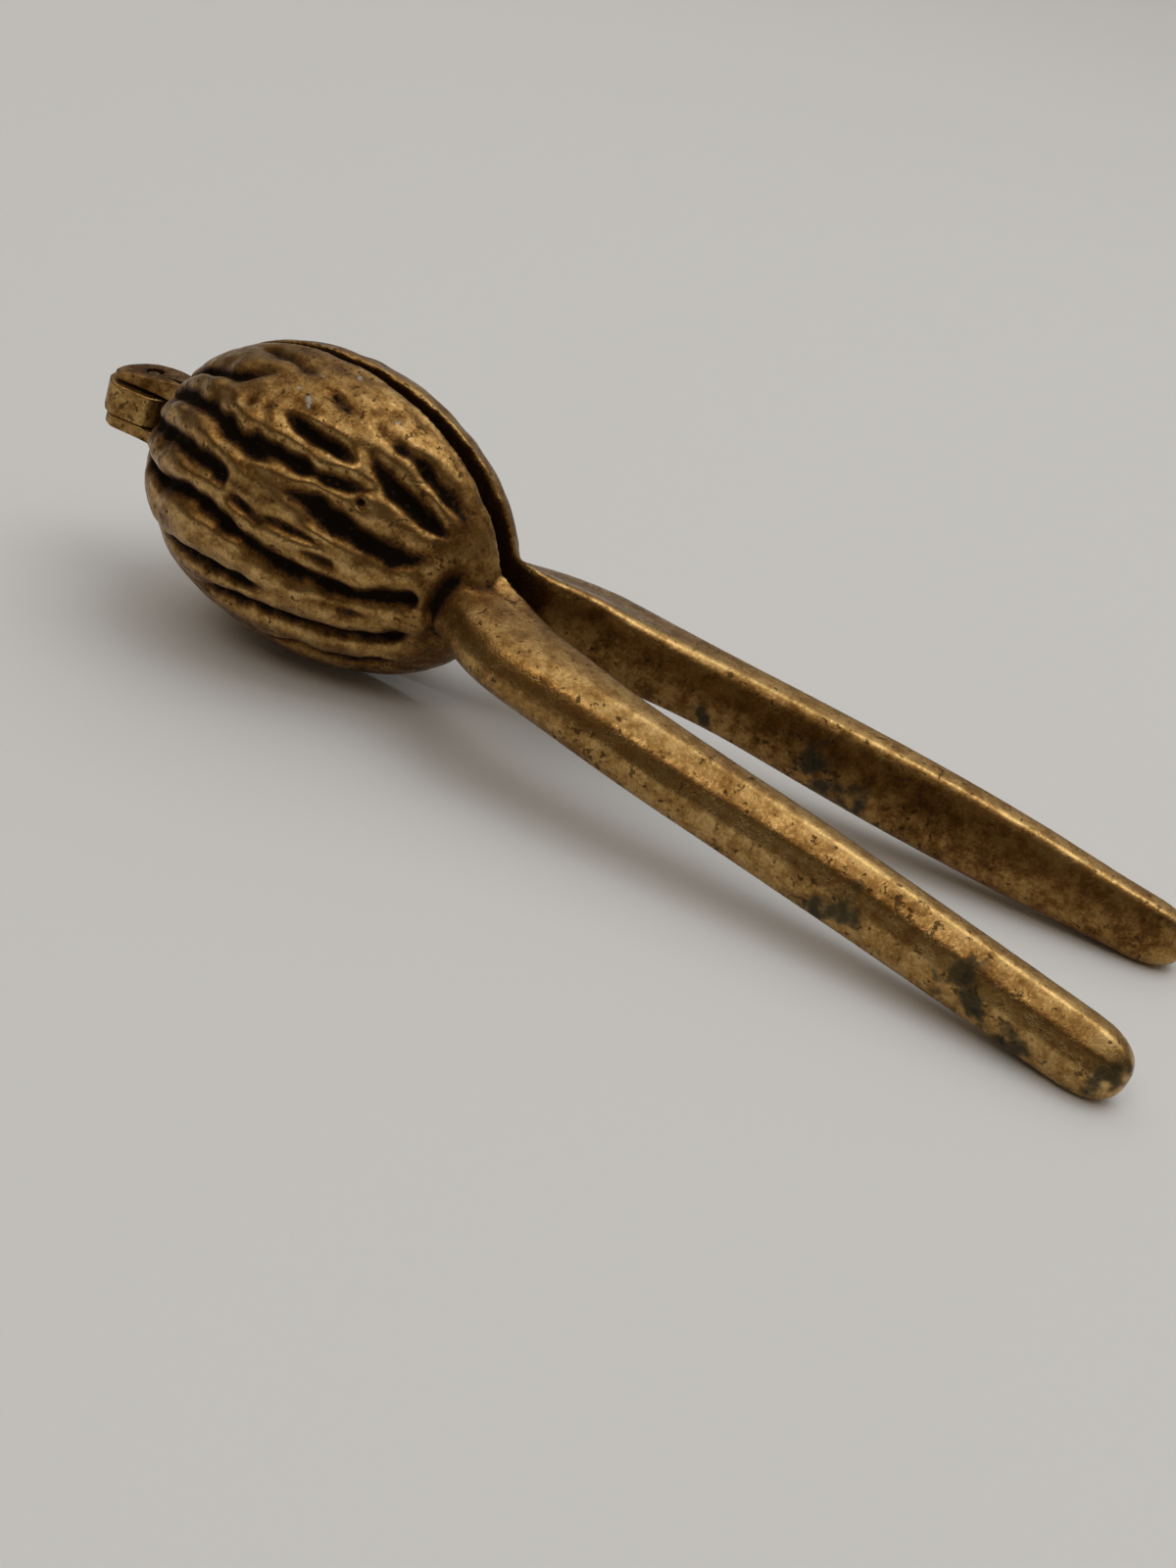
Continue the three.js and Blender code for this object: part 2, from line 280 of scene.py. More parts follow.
# %% [markdown]
# Two maps of the shell come from those lines: the furrows' depth, which shapes the casting, and the soot in
# them, which darkens the bronze later. A map is a grid over the whole shell, so every line is worked out
# once for all points. Each uneven wave below is a height, a length in millimetres and a seed.

# %% Furrow maps
STATIONS, ROUND = 190, 240
WANDER, UNEVEN = (0.2, 4.5, 3), (0.16, 9, 4)
UNEVEN_MIDDLE, UNEVEN_RANGE = 0.95, (0.7, 1.15)
GROOVE_END, GROOVE_WIDENS, RIDGE_REACH = 0.35, 0.4, 3.2
GROOVE_SHARE, SLOPE_SHARE = 0.6, 0.6
SOOT_STEPS = [(0.55, 0.25, 1.0), (0.45, 1.0, 1.8)]
LUMPS, LONG_LUMPS, LUMP_STRETCH = (0.10, 6, 5), (0.13, 2.6, 6), [0.35, 1, 1]
SOFT, POLE_FADE = 0.2, (0.02, 0.3)
FREE_DEPTH, SPARE_DEPTH = 2.2, 0.7


def cut_lines(surface, furrows):
    """Depth of all furrows: a groove on a broad slope, both falling off with the distance to the line, and
    the lines joined by a cubic sum."""
    wander = ripple(surface, *WANDER)
    uneven = np.clip(UNEVEN_MIDDLE + ripple(surface, *UNEVEN), *UNEVEN_RANGE)
    depth = np.zeros(len(surface))
    for width, deep, knots in furrows:
        near, nearest, fade = traced(surface, knots)
        across = np.maximum(nearest + wander[near] * fade, 0) / width
        groove = np.exp(-((across / (GROOVE_END + GROOVE_WIDENS * fade)) ** 2))
        slope = np.clip(1 - across / RIDGE_REACH, 0, 1) ** 2
        cut = deep * fade * uneven[near] * (GROOVE_SHARE * groove + SLOPE_SHARE * slope)
        depth[near] = np.cbrt(depth[near] ** 3 + cut**3)
    return depth


def furrow_maps_of(along, angle, furrows):
    """Depth and soot at every point of the shell. Soot steps up with the furrows' depth. Then lumps are
    added, the collar before the handle's root stands proud, a pit is sunk, and beyond the free depth a
    furrow levels off, so that none breaks the wall."""
    surface = walnut_point(np.ravel(along), np.ravel(angle))
    depth = cut_lines(surface, furrows)
    soot = sum(share * eased(low, high, depth) for share, low, high in SOOT_STEPS)
    depth = depth + (ripple(surface, *LUMPS) + ripple(surface * LUMP_STRETCH, *LONG_LUMPS))
    girth = np.sqrt(np.clip(1 - np.ravel(along) ** 2, 0, 1))
    depth = (depth + np.hypot(depth, SOFT)) / 2 * eased(*POLE_FADE, girth)
    width, proud, knots = COLLAR
    near, nearest, fade = traced(surface, knots)
    depth[near] -= proud * fade * np.exp(-((nearest / width) ** 2))
    pit_distance = np.linalg.norm(surface - walnut_point(PIT[0], np.radians(PIT[1])), axis=1)
    pit = np.exp(-((pit_distance / PIT_RADIUS) ** 4))
    depth += PIT_DEPTH * pit
    soot = np.maximum(soot, pit)
    excess = np.maximum(depth - FREE_DEPTH, 0)
    depth = np.minimum(depth, FREE_DEPTH) + SPARE_DEPTH * np.tanh(excess / SPARE_DEPTH)
    return depth.reshape(np.shape(along)), soot.reshape(np.shape(along))


shell_turn = np.linspace(0, np.pi, STATIONS)
shell_round = np.linspace(0, np.pi, ROUND)
shell_along, shell_angle = np.meshgrid(-np.cos(shell_turn), shell_round, indexing="ij")
furrow_maps = {side: furrow_maps_of(shell_along, shell_angle, lines)
               for side, lines in ((FRONT, FURROWS), (REAR, other_side(FURROWS)))}
print("deepest furrow", round(float(furrow_maps[FRONT][0].max()), 2), "mm")

# %% Shell and hollow as grids
SHOULDER_AT, SHOULDER_WIDE = np.radians(35), np.radians(22)
SHOULDER_DROP = {FRONT: 0.0, REAR: 1.2}
HOLLOW_ROWS, HOLLOW_COLUMNS = 60, 96


def shell_grid(side):
    """Half a walnut as one closed grid: the furrowed arc at every station; the last column joins the first
    over the rim. The rear half is a little flatter beside the upper rim."""
    shoulder = np.exp(-(((shell_angle - SHOULDER_AT) / SHOULDER_WIDE) ** 2)) * np.sin(shell_turn)[:, None]
    return walnut_point(shell_along, shell_angle, furrow_maps[side][0] + SHOULDER_DROP[side] * shoulder)


def hollow_grid():
    """The hollow for the nut: a whole smooth egg, one wall smaller, that is cut out of the half shell."""
    along = -np.cos(np.linspace(0, np.pi, HOLLOW_ROWS))
    angle = np.linspace(0, 2 * np.pi, HOLLOW_COLUMNS, endpoint=False)
    return walnut_point(*np.meshgrid(along, angle, indexing="ij"), inside=WALL)


# %% [markdown]
# The handle is a cast bar, filed by hand. It leaves the shell as a round finger with a fin along the rim,
# and further on it is a bar with a soft bevel along its outer edge. Two sections of sixteen corners are
# carried along x and blend into each other. A bevelled box would be too even.

# %% Runs of the handle
ROOT_AT, ROOT_ROUND = 52.9, 2.8
TIP_AT, TIP_ROUND, TIP_RISE = 154.9, 7.0, 0.5
OUTER_FACE = {
    FRONT: [(47.6, 5.5), (57, 9.2), (60, 11.2), (63, 12.5), (66, 13.2), (71, 13.5), (112.8, 12.9),
            (155, 15.4)],
    REAR: [(47.6, 5.5), (57, 9.2), (60, 11.2), (63, 12.6), (66, 13.5), (71, 14.2), (112.8, 14.6),
           (132, 14.9), (155, 15.1)],
}
INNER_FACE = [(47.6, -3), (59.1, -1.5), (70.6, 2.4), (112.8, 5.7), (155, 8.4)]
HALF_HEIGHT = {
    FRONT: [(47.6, 3.6), (58, 3.8), (66, 4.2), (72, 4.35), (84, 4.45), (98, 4.6), (112.8, 4.75), (155, 4.2)],
    REAR: [(47.6, 3.6), (60, 3.7), (72, 4.0), (84, 4.6), (98, 5.2), (114, 5.6), (130, 5.35), (142, 4.6),
           (148, 4.3), (155, 4.2)],
}
LIFT = {
    FRONT: [(47.6, 0), (58, 0.2), (66, 0.4), (72, 0.45), (84, 0.25), (98, 0.05), (112.8, 0), (155, 0)],
    REAR: [(47.6, 0), (155, 0)],
}
FIN = {
    FRONT: [(47.6, 5.6), (56, 4.6), (59, 2.6), (61.2, 1.0), (66, 0.1), (72, 0), (155, 0)],
    REAR: [(47.6, 5.8), (56, 5.0), (59.2, 3.9), (63, 3.1), (66, 2.7), (70, 2.2), (76, 1.3), (84, 0.5),
           (94, 0), (155, 0)],
}
FIN_WIDTH = {FRONT: 0.22, REAR: 0.32}
print("handle", round(TIP_AT - NUT_END, 1), "mm long from the nut to the tip")

# %% Sections of the handle
BEVEL = (68, 92)
NECK_SECTION = [(0, 0.40), (0.02, 0.76), (0.06, 0.90), (0.20, 0.98), (0.46, 1), (0.70, 0.95), (0.84, 0.76),
                (0.928, 0.41), (1, -0.03), (0.99, -0.40), (0.91, -0.70), (0.78, -0.93), (0.50, -1),
                (0.20, -1), (0.06, -0.96), (0, -0.40)]
BAR_SECTION = [(0, -0.20), (0.03, 0.25), (0.13, 0.78), (0.22, 0.98), (0.38, 1), (0.58, 1), (0.865, 0.57),
               (1, 0), (1, -0.12), (0.985, -0.50), (0.93, -0.82), (0.80, -0.98), (0.50, -1), (0.22, -0.97),
               (0.06, -0.78), (0.01, -0.50)]
CORNER_POINTS, NECK_WEAR, BAR_WEAR = 10, 20, 4
BLUNT, END_ROWS, BAR_ROWS = 2.5, 14, 190


def handle_grid(side):
    """Bar along x: two sections blended and scaled to the faces and the height, the inner edge raised by a
    fin that falls off outwards, the whole lifted a little at the neck, both ends drawn in like a blunt
    finger."""
    turn = np.linspace(0, np.pi / 2, END_ROWS)
    drawn_in = np.clip(1 - np.cos(turn) ** BLUNT, 0, 1) ** (1 / BLUNT)
    middle = np.linspace(ROOT_AT + ROOT_ROUND, TIP_AT - TIP_ROUND, BAR_ROWS)[1:-1]
    x = np.r_[ROOT_AT + ROOT_ROUND * (1 - np.cos(turn)), middle, TIP_AT - TIP_ROUND * (1 - np.sin(turn))]
    shrink = np.r_[drawn_in, np.ones(len(middle)), drawn_in[::-1]][:, None]
    runs = (OUTER_FACE[side], INNER_FACE, HALF_HEIGHT[side], LIFT[side], FIN[side])
    outer, inner, half, lift, fin = (curve_through(knots, x)[:, None] for knots in runs)
    to_bar = eased(*BEVEL, x)[:, None, None]
    neck = worn_outline(NECK_SECTION, CORNER_POINTS, NECK_WEAR)
    outline = neck * (1 - to_bar) + worn_outline(BAR_SECTION, CORNER_POINTS, BAR_WEAR) * to_bar
    across, up = outline[..., 0], outline[..., 1]
    height = half + fin * np.exp(-((across / FIN_WIDTH[side]) ** 2))
    y = inner + (outer - inner) * (0.5 + (across - 0.5) * shrink)
    rise = TIP_RISE * np.clip((x[:, None] - NUT_END) / (TIP_AT - NUT_END), 0, 1)
    return np.stack([x[:, None] + 0 * y, np.maximum(y, RIM_GAP), height * up * shrink + lift + rise], axis=-1)


# %% [markdown]
# The hinge has three knuckles on one pin: two ears on the front casting and a tongue between them on the
# rear one. Each is a slab with a hand-filed outline and a tail that runs into the nose of its own shell.
# Only the upper slit is open, because the tongue rests on the lower ear.

# %% Knuckles
UPPER_EAR = [(8, 0.15), (8, 1.2), (4.6, 2.0), (2.0, 2.8), (0, 3.4), (-2.7, 4.3), (-3.7, 3.6), (-4.1, 1.9),
             (-3.9, 0.2), (-3.0, -1.7), (-1.8, -2.8), (0, -3.3), (2.0, -3.3), (4.0, -2.8), (5.0, -1.6),
             (5.4, 0.15)]
LOWER_EAR = [(8, 0.15), (8, 3.0), (2.9, 3.7), (0, 4.5), (-1.8, 5.0), (-3.2, 4.3), (-4.0, 2.8), (-4.3, 0.8),
             (-3.8, -1.3), (-2.5, -3.0), (0, -3.8), (2.4, -3.0), (3.6, -1.3), (3.9, 0.15)]
TONGUE = [(8, 0.15), (8, 5.0), (4, 4.9), (0, 4.7), (-2.2, 4.3), (-3.8, 3.0), (-4.7, 1.0), (-4.9, -1.5),
          (-4.6, -3.4), (-3.4, -4.8), (-2.0, -5.1), (0, -4.6), (2.2, -4.0), (3.3, -2.9), (4.3, -1.4),
          (4.8, 0.15)]
EAR_TOP, SLIT_TOP, SLIT_LOW = 3.2, 1.55, 1.25
TONGUE_LOW, LOWER_EAR_TOP, LOWER_EAR_LOW = -3.2, -3.35, -5.1
EAR_LEAN, EDGE, EDGE_ROWS = 0.22, 0.28, 6
KNUCKLE_POINTS, KNUCKLE_WEAR = 8, 4


def knuckle_grid(outline, low, high, lean=0.0):
    """Slab: the outline carried up the pin, drawn in along a quarter circle at both edges; the top leans to
    the nose."""
    outline = worn_outline(outline, KNUCKLE_POINTS, KNUCKLE_WEAR)
    middle = outline.mean(axis=0)
    turn = np.linspace(0, np.pi / 2, EDGE_ROWS)
    level = np.r_[EDGE * (1 - np.cos(turn)), high - low - EDGE * (1 - np.cos(turn[::-1]))]
    inset = EDGE * (1 - np.r_[np.sin(turn), np.sin(turn[::-1])])
    arm = outline - middle
    arm_length = np.linalg.norm(arm, axis=1)
    x, y = (middle[k] + arm[:, k] * (1 - inset[:, None] / arm_length) for k in (0, 1))
    z = low + level[:, None] * (1 + lean * x / (high - low))
    grid = np.stack([x, y, z], axis=-1)
    caps = grid[[0, -1]].mean(axis=1, keepdims=True) + 0 * grid[[0, -1]]
    return np.concatenate([caps[:1], grid, caps[1:]])


# %% Turned forms for the bore, the rooms and the pin
BORE_RADIUS, PIN_RADIUS, PIN_SHORT, PIN_CHAMFER, PIN_FACE = 1.2, 1.05, 0.4, 0.25, 0.5
EAR_ROOM, TONGUE_ROOM = 5.6, 6.75
BEYOND = 8.0
TURNED_SIDES = 72


def turned_grid(profile):
    """Turned form: a profile of [radius, height] carried once around the upright axis through the origin."""
    radius, height = np.array(profile, dtype=float).T
    angle = np.linspace(0, 2 * np.pi, TURNED_SIDES, endpoint=False)
    return np.stack([np.outer(radius, np.cos(angle)), np.outer(radius, np.sin(angle)),
                     np.outer(height, np.ones_like(angle))], axis=-1)


def plug(name, radius, low, high):
    """A plain round plug to cut with."""
    return closed_form(name, turned_grid([(0, low), (radius, low), (radius, high), (0, high)]))


# %% [markdown]
# The raw forms are joined and cut with Boolean modifiers. A voxel Remesh turns shell and handle into one
# even skin, as a casting has no seams inside. Smoothing takes the voxel steps off, and a one-sided
# smoothing fills the sharp inner corners, which is what the radius in a mould does. The filed hinge is
# added after that, so that it stays crisp.

# %% Join, cut and remesh
VOXEL = 0.36


def worked(body, steps, voxel=0.0):
    """New mesh: forms united with the body or cut away in turn, then remeshed in even squares if a voxel is
    given."""
    for operation, tool in steps:
        step = body.modifiers.new(tool.name, "BOOLEAN")
        step.solver = "MANIFOLD"
        step.operation = operation
        step.object = tool
    if voxel:
        skin = body.modifiers.new("skin", "REMESH")
        skin.mode = "VOXEL"
        skin.voxel_size = voxel
    bpy.context.view_layer.update()
    mesh = bpy.data.meshes.new_from_object(body.evaluated_get(bpy.context.evaluated_depsgraph_get()))
    for form in (body, *(tool for _, tool in steps)):
        bpy.data.meshes.remove(form.data)
    return mesh


def numbers(collection, field, width, kind=float):
    """One field of a mesh collection as an array of the given width."""
    values = np.empty(len(collection) * width, dtype=kind)
    collection.foreach_get(field, values)
    return values.reshape(-1, width)


# %% Smoothing on whole arrays
STEP_IN, STEP_BACK = 0.5, -0.52
FILL_STEP, SOFTEN_STEP = 0.6, 0.6
TINY = 1e-12


def neighbour_mean(values, edges):
    """Mean of the neighbours' values at every point."""
    a, b = edges.T
    size = len(values)
    count = np.bincount(a, minlength=size) + np.bincount(b, minlength=size)
    total = [np.bincount(a, column[b], size) + np.bincount(b, column[a], size) for column in values.T]
    return np.stack(total, axis=1) / count[:, None]


def point_normals(points, squares):
    """Unit normals: the cross products of the squares' diagonals, summed at their corners."""
    a, b, c, d = (points[squares[:, k]] for k in range(4))
    face = np.repeat(np.cross(c - a, d - b), 4, axis=0)
    total = np.stack([np.bincount(squares.reshape(-1), column, len(points)) for column in face.T], axis=1)
    return total / np.maximum(np.linalg.norm(total, axis=1, keepdims=True), TINY)


def smoothed(points, edges, rounds):
    """Smoothing that keeps the volume: a step towards the neighbours' mean, then a slightly longer step
    back."""
    for step in rounds * (STEP_IN, STEP_BACK):
        points = points + step * (neighbour_mean(points, edges) - points)
    return points


def filled_corners(points, squares, edges, where, rounds):
    """Casting radius: inner corners grow along the normal by how far they lie below their neighbours'
    mean."""
    for _ in range(rounds):
        normal = point_normals(points, squares)
        below = np.einsum("ij,ij->i", neighbour_mean(points, edges) - points, normal)
        points = points + (FILL_STEP * where * np.maximum(below, 0))[:, None] * normal
    return points


def hollowness(points, edges, normals, rounds):
    """How far a point lies below (plus) or above (minus) the smoothed surface around it, in mm."""
    soft = points
    for _ in range(rounds):
        soft = soft + SOFTEN_STEP * (neighbour_mean(soft, edges) - soft)
    return np.einsum("ij,ij->i", soft - points, normals)


# %% [markdown]
# The hinge is worked into each casting. The front one gets the ears and leaves room for the tongue in its
# nose; the rear one gets the tongue and leaves room for the ears. The bore is cut last, so that no joined
# form closes it.

# %% Hinge work on each casting
def front_hinge():
    """Front half: room for the tongue, two ears, the bore."""
    return [("DIFFERENCE", plug("tongue_room", TONGUE_ROOM, LOWER_EAR_TOP, SLIT_TOP)),
            ("UNION", closed_form("upper_ear", knuckle_grid(UPPER_EAR, SLIT_TOP, EAR_TOP, EAR_LEAN))),
            ("UNION", closed_form("lower_ear", knuckle_grid(LOWER_EAR, LOWER_EAR_LOW, LOWER_EAR_TOP))),
            ("DIFFERENCE", plug("front_bore", BORE_RADIUS, -BEYOND, BEYOND))]


def rear_hinge():
    """Rear half: rooms for the ears, the tongue, the bore."""
    return [("DIFFERENCE", plug("upper_ear_room", EAR_ROOM, SLIT_LOW, BEYOND)),
            ("DIFFERENCE", plug("lower_ear_room", EAR_ROOM, -BEYOND, TONGUE_LOW)),
            ("UNION", closed_form("tongue", knuckle_grid(TONGUE, TONGUE_LOW, SLIT_LOW))),
            ("DIFFERENCE", plug("rear_bore", BORE_RADIUS, -BEYOND, BEYOND))]


# %% [markdown]
# Age shows in two opposite ways. Dirt and dark patina stay where no hand reaches: in furrows, at the hinge,
# in the hollow. Edges and ridges are rubbed bright. Painted shade is stored with the dirt as well: in the
# bore, over the neck at the handle's root and on the faces where the two handles look at each other. All
# of it follows from the shape, so it is worked out per point and stored as attributes that the bronze
# reads. Painting them by hand would not survive a change of shape. A stretch along x is given by where it
# begins and where it ends, each as an eased step in mm.

# %% Where dirt and painted shade lie and how much
FINE_ROUNDS, BROAD_ROUNDS = 12, 90
SHELL_BEGINS, SHELL_ENDS = (NUT_START, NUT_START + 1), (56, 58.5)
# the bore edge is how far the painted shadow of the bore reaches past its wall
HINGE_ENDS, BORE_EDGE = (4, 6), 0.25
ROOT_BEGINS, ROOT_ENDS = (48, 53), (56, 60)
# the palm stretch and the palm face place painted shade on the faces where the two handles look at each other
PALM_BEGINS = (58, 62)
FACES_OUT, FACES_IN = (-0.1, 0.3), -0.2
RIM_FACE, PALM_FACE = (0.7, 0.95), (0.4, 0.9)
CORNER_GRIME, CORNER_DEPTH = 0.8, (0.1, 0.5)
HOLLOW_GRIME, RIM_GRIME, SHELL_GRIME = 0.45, 0.45, 0.2
UPPER_EAR_GRIME, HINGE_GRIME = 0.45, 0.2
# both shares on the next line are painted shade: over the neck at the handle's root, and on the faces where
# the two handles look at each other
ROOT_SHADE, PALM_SHADE = 0.34, 0.28


def read_map(table, points):
    """A shell map's value at each point: its place on the egg, weighted from the map's four nearest
    entries."""
    along = np.clip((points[:, 0] - NUT_MIDDLE) / NUT_HALF_LENGTH, -1, 1)
    depth = NUT_DEPTH * (1 - NUT_LEAN * along)
    angle = np.arctan2(np.maximum(points[:, 1] - RIM_GAP, 0) / depth, points[:, 2] / NUT_HALF_HEIGHT)
    row = np.arccos(-along) / np.pi * (STATIONS - 1)
    column = np.clip(angle, 0, np.pi) / np.pi * (ROUND - 1)
    r, c = np.minimum(row.astype(int), STATIONS - 2), np.minimum(column.astype(int), ROUND - 2)
    u, v = row - r, column - c
    upper = table[r, c] * (1 - v) + table[r, c + 1] * v
    lower = table[r + 1, c] * (1 - v) + table[r + 1, c + 1] * v
    return upper * (1 - u) + lower * u


# %% Age of the surface
WEAR_MIDDLE, FINE_WEAR, BROAD_WEAR = 0.5, 2.2, 0.9
BAR_BEGINS, BAR_CALM = (58, 64), 0.35
NECK_BEGINS, NECK_ENDS, NECK_CALM = (52, 56), (68, 74), 0.5
RIM_CALM = 0.6


def age(points, edges, normals, side):
    """Grime and shade 0 to 1 is the most of soot in furrows, inner corners, hollow, rim, hinge and shell, and
    of painted shade in the bore, over the neck at the root and on the palm side. Wear 0 to 1 grows with how
    far a point stands out, less on bar and neck."""
    x, y, z = points.T
    fine = hollowness(points, edges, normals, FINE_ROUNDS)
    broad = hollowness(points, edges, normals, BROAD_ROUNDS)
    radial = (points - [0, RIM_GAP, 0]) * [0, 1, 1]
    radial /= np.maximum(np.linalg.norm(radial, axis=1, keepdims=True), TINY)
    outside = np.einsum("ij,ij->i", radial, normals)
    on_shell = between(SHELL_BEGINS, SHELL_ENDS, x)
    furrow = read_map(furrow_maps[side][1], points) * on_shell * eased(*FACES_OUT, outside)
    hollow = on_shell * (outside < FACES_IN)
    rim = on_shell * eased(*RIM_FACE, -normals[:, 1])
    ear = (1 - eased(*HINGE_ENDS, x)) * np.where(z > SLIT_LOW, UPPER_EAR_GRIME, HINGE_GRIME)
    # painted shadow: the bore's wall and a thin ring round it are darkened as the shade inside the hole
    bore = 1 - eased(BORE_RADIUS, BORE_RADIUS + BORE_EDGE, np.hypot(x, y))
    inner_corner = CORNER_GRIME * eased(*CORNER_DEPTH, broad)
    # painted shade over the neck at the handle's root
    root = ROOT_SHADE * between(ROOT_BEGINS, ROOT_ENDS, x)
    # painted shade on the faces where the two handles look at each other
    palm = PALM_SHADE * eased(*PALM_BEGINS, x) * eased(*PALM_FACE, -normals[:, 1])
    grime_and_shade = np.maximum.reduce([furrow, inner_corner, HOLLOW_GRIME * hollow, RIM_GRIME * rim, ear, bore, root,
                               palm, SHELL_GRIME * on_shell])
    rubbed = 1 - BAR_CALM * eased(*BAR_BEGINS, x) - NECK_CALM * between(NECK_BEGINS, NECK_ENDS, x)
    standing_out = -rubbed * (FINE_WEAR * fine + BROAD_WEAR * broad)
    wear = np.clip(WEAR_MIDDLE + standing_out, 0, 1) * (1 - RIM_CALM * rim) * (1 - hollow)
    return {"grime_and_shade": grime_and_shade, "wear": wear}


# %% Stains and scuffs
STAINS = {
    FRONT: [((117, 13.2, -1.2), 4.2), ((133, 14.2, 0.6), 3.6), ((136, 14.2, -1.2), 3.4),
            ((142, 14.5, -3), 3.6), ((152, 13, 1), 3.4)],
    REAR: [((103, 6, 0), 4.0), ((108, 6, -3), 4.5), ((88, 4, -2), 2.5)],
}
SCUFFS = [((-0.02, 8.5), 0.9), ((-0.15, 18), 0.6), ((-0.18, 28), 0.9), ((-0.09, 32), 1.1), ((0.06, 8), 0.7),
          ((0.30, 18), 0.9)]
STAIN_SEED, SCUFF_SEED = 21, 31
SPOT_WAVES, SPOT_REACH = [(0.3, 1.2), (0.2, 0.5)], -0.5


def spots_at(points, spots, seed):
    """1 at each listed spot, falling to 0 at its radius with an edge made uneven by two waves, whose
    lengths are shares of the radius."""
    most = np.zeros(len(points))
    for k, (spot, radius) in enumerate(spots):
        near = 1 - np.linalg.norm(points - spot, axis=1) / radius
        uneven = sum(ripple(points, height, share * radius, seed + k) for height, share in SPOT_WAVES)
        most = np.maximum(most, near + uneven * (near > SPOT_REACH))
    return np.clip(most, 0, 1)


def marks(points, side):
    """Green-black stains on the handles, and light grey scuffs on the front shell near its upper rim."""
    scuffs = [(walnut_point(along, np.radians(angle)), radius) for (along, angle), radius in SCUFFS]
    scuffed = spots_at(points, scuffs, SCUFF_SEED) if side == FRONT else np.zeros(len(points))
    return {"stain": spots_at(points, STAINS[side], STAIN_SEED), "scuff": scuffed}


# %% Cast skin
SMOOTH_ROUNDS, FILLET_ROUNDS = 8, 25
FILLET_BEGINS, FILLET_ENDS, FILLET_DEPTH = (50, 53), (62, 66), (5, 8)


def cast_skin(name, side):
    """Shell and handle as one skin in the half frame: joined, hollowed, remeshed, smoothed, and the inner
    corners at the neck filled."""
    raw = worked(closed_form(name + "_shell", shell_grid(side)),
                 [("UNION", closed_form(name + "_handle", handle_grid(side))),
                  ("DIFFERENCE", closed_form(name + "_hollow", hollow_grid()))], VOXEL)
    points, edges = numbers(raw.vertices, "co", 3), numbers(raw.edges, "vertices", 2, int)
    squares = numbers(raw.loops, "vertex_index", 1, int).reshape(-1, 4)
    points = smoothed(points, edges, SMOOTH_ROUNDS)
    x, y, _ = points.T
    neck = between(FILLET_BEGINS, FILLET_ENDS, x) * (1 - eased(*FILLET_DEPTH, y))
    points = filled_corners(points, squares, edges, neck, FILLET_ROUNDS)
    raw.vertices.foreach_set("co", points.reshape(-1))
    raw.update()
    return new_object(name + "_skin", raw)


# %% Finished castings
CRISP = np.radians(50)


def finished_casting(name, side, hinge_work):
    """Work the hinge into the cast skin, store its age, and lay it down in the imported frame. The number of
    holes through a closed mesh is 1 less half of (points - edges + faces)."""
    mesh = worked(cast_skin(name, side), hinge_work)
    points, edges = numbers(mesh.vertices, "co", 3), numbers(mesh.edges, "vertices", 2, int)
    normals = numbers(mesh.vertex_normals, "vector", 3)
    traces = {**age(points, edges, normals, side), **marks(points, side)}
    mesh.name = name
    mesh.vertices.foreach_set("co", placed(points, side).reshape(-1))
    if side == FRONT:
        mesh.flip_normals()
    mesh.shade_smooth()
    mesh.set_sharp_from_angle(angle=CRISP)
    for trace, value in traces.items():
        attribute = mesh.attributes.new(trace, "FLOAT", "POINT")
        attribute.data.foreach_set("value", value.astype(np.float32))
        print(name, trace, "mean", round(float(value.mean()), 3))
    through = 1 - (len(mesh.vertices) - len(mesh.edges) + len(mesh.polygons)) // 2
    print(name, len(mesh.loops) - 2 * len(mesh.polygons), "triangles,", through, "holes through it")
    return new_object(name, mesh)


front_jaw = finished_casting("front_jaw", FRONT, front_hinge())
rear_jaw = finished_casting("rear_jaw", REAR, rear_hinge())

# %% [markdown]
# The pin is a cut piece of rod, its ends chamfered and set back a little in the ears. It is turned from a
# profile, and because it is round about the hinge's axis, either half's place is its own.

# %% Pin
pin_low, pin_high = LOWER_EAR_LOW + PIN_SHORT, EAR_TOP - PIN_SHORT
pin_profile = [(0, pin_low), (PIN_FACE, pin_low), (PIN_RADIUS - PIN_CHAMFER, pin_low),
               (PIN_RADIUS, pin_low + PIN_CHAMFER), (PIN_RADIUS, pin_high - PIN_CHAMFER),
               (PIN_RADIUS - PIN_CHAMFER, pin_high), (PIN_FACE, pin_high), (0, pin_high)]
cross_pin = closed_form("cross_pin", turned_grid(pin_profile))
pin_points = numbers(cross_pin.data.vertices, "co", 3)
cross_pin.data.vertices.foreach_set("co", placed(pin_points, REAR).reshape(-1))
cross_pin.data.update()

# %% [markdown]
# Bronze that has been handled for decades is gold-brown where it is rubbed, brown on the flats and black
# with old dirt in the furrows, with fine dark specks all over. The shader reads one scale from bright to
# black, made from the stored age and from noise on Object coordinates, so no unwrapping is needed. The
# painted shade stored with the dirt moves a point down that scale too. Dirt isn't metal, so it lowers
# Metallic too, and the painted shade does the same.

# %% Node helpers
def link(tree, source, target):
    """Join two sockets, or set the target's own value when the source is a number or a colour."""
    if isinstance(source, bpy.types.NodeSocket):
        tree.links.new(source, target)
    else:
        target.default_value = source


def sums(tree, operation, first, second):
    """One Math node."""
    node = tree.nodes.new("ShaderNodeMath")
    node.operation = operation
    link(tree, first, node.inputs[0])
    link(tree, second, node.inputs[1])
    return node.outputs[0]


